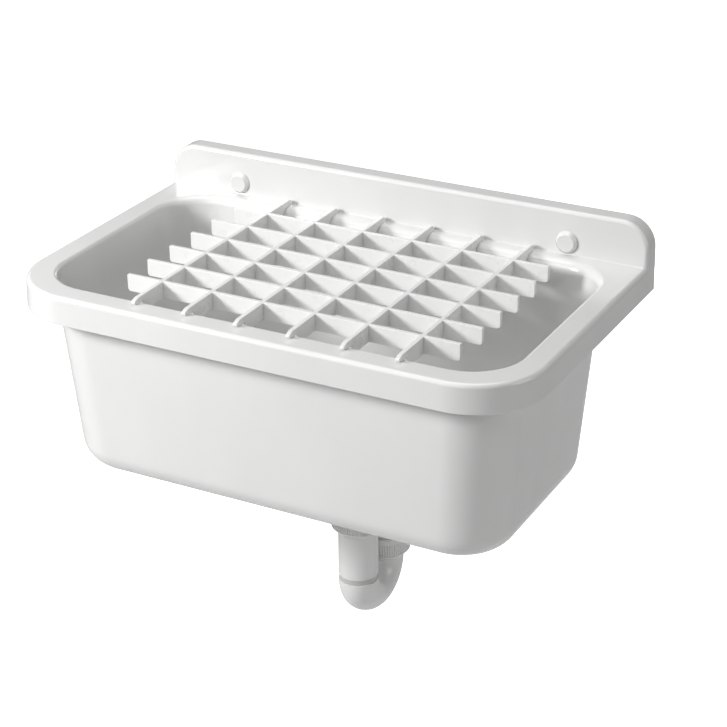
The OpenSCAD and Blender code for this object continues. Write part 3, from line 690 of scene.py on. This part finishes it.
def tubeAlong(name, path, outerR, innerR, material, steps=64):
    # path: (centre, direction) stations in the plane of the trap; a closed pipe with a real bore
    rings = []
    for r, stations in ((outerR, path), (innerR, list(reversed(path)))):
        for (y, z), angle in stations:
            a = math.radians(angle)
            ring = []
            for k in range(steps):
                t = 2 * math.pi * k / steps
                u = r * math.cos(t)
                ring.append((r * math.sin(t), y - u * math.sin(a), z + u * math.cos(a)))
            rings.append(ring)
    rings.append(rings[0])
    points = [p for ring in rings for p in ring]
    return newPiece(name, points, loftFaces(len(rings), steps, caps=False), material)


def arcPath(cy, cz, r, start, end, steps, side):
    # stations on an arc; side turns the direction with or against the angle
    path = []
    for k in range(steps + 1):
        angle = start + (end - start) * k / steps
        a = math.radians(angle)
        path.append(((cy + r * math.cos(a), cz + r * math.sin(a)), angle + 90 * side))
    return path


def makeBend():
    # down from the groove, half a turn, up into the outlet socket
    r = trap["legGap"] / 2
    path = arcPath(drainY + r, bendZ, r, 180, 360, 60, 1)
    path.append(((rearY, elbowZ - trap["shoulder"] - 0.6), 90))
    piece = tubeAlong("trapBend", path, trap["tubeR"], trap["boreR"], tubePlastic, 80)
    spigotR, inside, high = trap["tubeR"] - trap["grooveDepth"] - 0.4, trap["boreR"] - 1, trap["spigotHeight"]
    profile = [(inside, -0.5), (spigotR, -0.5), (spigotR, high - 0.4), (spigotR - 0.4, high), (inside, high)]
    spigot = turnedPiece("spigot", profile, (0, drainY, bendZ), tubePlastic)
    piece = joined("trapBend", [piece, spigot])
    smoothed(piece, 35)
    return settled(piece, "sink", "trap_bend")


def makeLeg():
    low = bendZ + trap["grooveHeight"]
    top = bendZ + trap["inletRise"] + socketRise + trap["slip"]
    h = top - low
    r, bore, wide = trap["tubeR"], trap["boreR"], trap["tubeR"] - trap["grooveDepth"] - trap["play"]
    profile = [(wide, 0.3), (wide + 0.3, 0), (r - 0.3, 0), (r, 0.3), (r, h - 0.8), (r - 0.8, h),
               (bore + 0.3, h), (bore, h - 0.3), (bore, 10.5), (wide, 10)]
    piece = turnedPiece("inletLeg", profile, (0, drainY, low), tubePlastic)
    smoothed(piece, 40)
    return settled(piece, "sink", "inlet_leg")


def threadRidge(name, y, lowZ, highZ, r, pitch, depth, material):
    # one helical ridge round an upright socket
    steps = 64
    turns = (highZ - lowZ) / pitch
    rings = []
    for k in range(int(turns * steps) + 1):
        a = 2 * math.pi * k / steps
        z = lowZ + pitch * k / steps
        fade = min(1, k / 24, (turns * steps - k) / 24)
        crest = r + depth * fade
        foot, flat = 0.42 * pitch, 0.12 * pitch
        section = [(r - 0.3, -foot), (crest, -flat), (crest, flat), (r - 0.3, foot)]
        rings.append([(u * math.cos(a), y + u * math.sin(a), z + v) for u, v in section])
    return loftPiece(name, rings, material)


def makeElbow():
    low = bendZ + trap["outletRise"] + socketRise
    r, bore, thread, socket = trap["tubeR"], trap["boreR"], trap["threadR"] - 0.7, trap["socketR"]
    wide, h = trap["threadR"], elbowZ - low
    step = h - trap["shoulder"]
    profile = [(socket, 0.5), (socket + 0.5, 0), (thread - 0.5, 0), (thread, 0.5), (thread, step - 0.4),
               (wide - 0.2, step), (wide, step + 0.4), (wide, h - 1), (wide - 1, h), (bore, h), (bore, step),
               (socket, step)]
    sleeve = turnedPiece("elbowSleeve", profile, (0, rearY, low), fittingPlastic)
    path = arcPath(rearY + trap["elbowR"], elbowZ, trap["elbowR"], 180, 90, 32, -1)
    path.append(((0, elbowZ + trap["elbowR"]), 0))
    pipe = tubeAlong("elbowPipe", path, r, bore, tubePlastic, 80)
    ridge = threadRidge("elbowThread", rearY, low + 2, low + step - 2, thread, trap["threadPitch"],
                        trap["threadDepth"], fittingPlastic)
    piece = joined("outletElbow", [sleeve, pipe, ridge])
    smoothed(piece, 40)
    return settled(piece, "sink", "outlet_elbow")


makeNut("inletNut", drainY, bendZ + trap["inletRise"], "inlet_nut")
makeNut("outletNut", rearY, bendZ + trap["outletRise"], "outlet_nut")
makeBend()
makeLeg()
makeElbow()
print("trap made")


# what the frame already shapes right keeps its mesh and gets its finish
kept = {"cap_seats": capPlastic, "strainer": strainerSteel, "strainer_screw": screwSteel,
        "screw_insert": turnedBrass, "upper_gasket": sealRubber, "lower_gasket": sealRubber,
        "waste_body": fittingPlastic, "inlet_washer": sealRubber, "outlet_washer": sealRubber,
        "bend_seal": sealPlastic}
for name, finish in kept.items():
    mesh = cadNodes[name].data
    if not mesh.materials:
        mesh.materials.append(finish)
    for k in range(len(mesh.materials)):
        cadNodes[name].material_slots[k].material = finish
print("kept parts finished")


stage = {"floorDrop": 850, "floorSize": 60000, "cameraPlace": (816.5, -1626.9, 698.3), "azimuth": 27.99,
         "elevation": 25.49, "roll": -0.50, "lens": 99.8, "lightOn": (0, -160, -100)}
stage["floorGlow"] = (0.04, 0.9)  # on the object, to the eye
stage["roomGlow"] = (0.105, 0.97)
# lamps: place and size in metres, power in watts
lamps = {"keyLamp": ((-1.05, -1.25, 0.62), (0.35, 0.35), 24.8),
         "topLamp": ((-0.1, -0.1, 1.9), (1.6, 1.2), 17.5),
         "frontLamp": ((-0.2, -1.7, 1.1), (1.4, 0.6), 8.2),
         "sideLamp": ((2.1, -0.1, 0.4), (1.2, 1.0), 9.3),
         "backLamp": ((-0.3, 2.4, 0.1), (1.6, 0.8), 12)}


def addEyeGlow(nodes, links, glow, socket):
    # one strength for the light on the object, another for what the camera sees
    ray = nodes.new("ShaderNodeLightPath")
    span = nodes.new("ShaderNodeMapRange")
    span.inputs["To Min"].default_value, span.inputs["To Max"].default_value = glow
    links.new(ray.outputs["Is Camera Ray"], span.inputs["Value"])
    links.new(span.outputs["Result"], socket)


def makeFloor():
    # a plain pale floor: near white to the eye, with only a faint glow on the object
    finish, nodes, links, shader = newFinish("paleFloor", (0.75, 0.75, 0.75), 0.9)
    shader.inputs["Emission Color"].default_value = (1, 1, 1, 1)
    addEyeGlow(nodes, links, stage["floorGlow"], shader.inputs["Emission Strength"])
    cloud = addNoise(nodes, links, 2, 2)
    links.new(addTint(nodes, links, cloud.outputs["Fac"], (0.75, 0.75, 0.75), (0.745, 0.745, 0.745)),
              shader.inputs["Base Color"])
    half = stage["floorSize"] / 2
    z = -stage["floorDrop"]
    corners = [(-half, -half, z), (half, -half, z), (half, half, z), (-half, half, z)]
    floor = newPiece("floor", corners, [(0, 1, 2, 3)], finish)


def makeCamera():
    lens = bpy.data.cameras.new("photoCamera")
    lens.lens = stage["lens"]
    lens.sensor_width = 36
    lens.clip_end = 200
    camera = bpy.data.objects.new("photoCamera", lens)
    scene.collection.objects.link(camera)
    view = Matrix.Translation([c * mm for c in stage["cameraPlace"]])
    view = view @ Matrix.Rotation(math.radians(stage["azimuth"]), 4, "Z")
    view = view @ Matrix.Rotation(math.radians(90 - stage["elevation"]), 4, "X")
    camera.matrix_world = view @ Matrix.Rotation(math.radians(stage["roll"]), 4, "Z")
    scene.camera = camera


def addLamp(name, place, target, size, power):
    lamp = bpy.data.lights.new(name, "AREA")
    lamp.shape = "RECTANGLE"
    lamp.size, lamp.size_y = size
    lamp.energy = power
    holder = bpy.data.objects.new(name, lamp)
    scene.collection.objects.link(holder)
    way = target - Vector(place)
    holder.matrix_world = Matrix.Translation(place) @ way.to_track_quat("-Z", "Y").to_matrix().to_4x4()


def makeLight():
    world = bpy.data.worlds.new("softRoom")
    world.use_nodes = True
    nodes, links = world.node_tree.nodes, world.node_tree.links
    addEyeGlow(nodes, links, stage["roomGlow"], nodes["Background"].inputs["Strength"])
    nodes["Background"].inputs["Color"].default_value = (0.99, 1, 1, 1)
    scene.world = world
    target = Vector(stage["lightOn"]) * mm
    for name, (place, size, power) in lamps.items():
        addLamp(name, place, target, size, power)
    scene.view_settings.view_transform = "Standard"


makeFloor()
makeCamera()
makeLight()
print("stage made")
